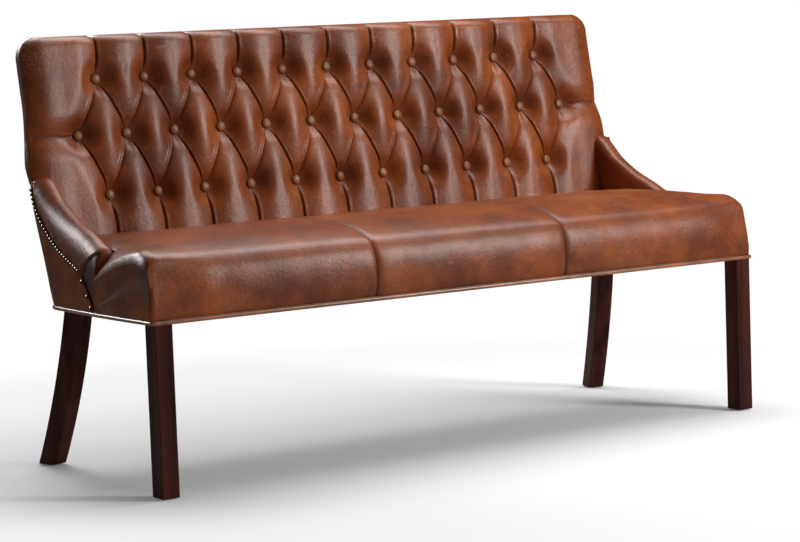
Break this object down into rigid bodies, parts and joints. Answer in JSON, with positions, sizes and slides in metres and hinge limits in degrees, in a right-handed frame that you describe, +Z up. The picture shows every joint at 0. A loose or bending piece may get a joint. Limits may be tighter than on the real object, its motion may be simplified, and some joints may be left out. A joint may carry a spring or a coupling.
{
  "type": "upholstered banquette bench",
  "caption": "Long leather banquette bench with a button-tufted leaning back, low swept arms, a crowned seat on springs, nailed arm seams and dark wooden legs.",
  "frame": {"origin": "on the floor under the middle of the bench's overall box", "axes": "+X along the bench to the sitter's left, seen from the front to the right; the sitter faces -Y; +Z up"},
  "size_m": [1.6226, 0.6373, 0.9442],
  "materials": {
    "leather": "aged pull-up leather, semi-gloss, mottled tan and brown",
    "button_leather": "lighter tan leather over button moulds",
    "piping_leather": "leather sewn round a cord, polished by handling",
    "leg_wood": "dark mahogany stain under satin lacquer",
    "frame_wood": "planed beech, unfinished",
    "foam": "open cell upholstery foam, matte",
    "felt": "needled felt",
    "webbing": "woven jute webbing",
    "twine": "waxed button twine and card toggles",
    "dust_cloth": "black non-woven cloth",
    "nail_bronze": "dark antique bronze, worn on the domes",
    "zinc_steel": "zinc plated",
    "spring_steel": "dark tempered steel wire",
    "glide_plastic": "black nylon"
  },
  "bodies": {
    "root": {"front_seat_rail": "frame_wood", "rear_seat_rail": "frame_wood", "side_seat_rail_left": "frame_wood", "side_seat_rail_right": "frame_wood", "seat_cross_rails": "frame_wood", "glue_blocks": "frame_wood", "front_corner_block_left": "frame_wood", "front_corner_block_right": "frame_wood", "rear_corner_block_left": "frame_wood", "rear_corner_block_right": "frame_wood", "front_leg_left": "leg_wood", "front_leg_right": "leg_wood", "rear_leg_left": "leg_wood", "rear_leg_right": "leg_wood", "leg_bolts": "zinc_steel", "tee_nuts": "zinc_steel", "foot_glides": "glide_plastic", "back_post_left": "frame_wood", "back_post_right": "frame_wood", "back_uprights": "frame_wood", "top_back_rail": "frame_wood", "tuck_rails": "frame_wood", "arm_brace_left": "frame_wood", "arm_brace_right": "frame_wood", "back_webbing": "webbing", "arm_panel_left": "frame_wood", "arm_panel_right": "frame_wood", "arm_cover_left": "leather", "arm_cover_right": "leather", "arm_foam_left": "foam", "arm_foam_right": "foam", "outside_arm_pad_left": "foam", "outside_arm_pad_right": "foam", "outside_arm_panel_left": "leather", "outside_arm_panel_right": "leather", "arm_nails_left": "nail_bronze", "arm_nails_right": "nail_bronze", "inside_back_cover": "leather", "back_foam": "foam", "back_buttons": "button_leather", "button_twines": "twine", "button_toggles": "twine", "back_side_band_left": "leather", "back_side_band_right": "leather", "back_side_pad_left": "foam", "back_side_pad_right": "foam", "outside_back_panel": "leather", "seat_cover_centre": "leather", "seat_cover_right": "leather", "seat_cover_left": "leather", "seat_foam": "foam", "spring_felt": "felt", "seat_springs": "spring_steel", "spring_clips": "spring_steel", "bottom_piping": "piping_leather", "dust_cover": "dust_cloth"}
  },
  "joints": []
}
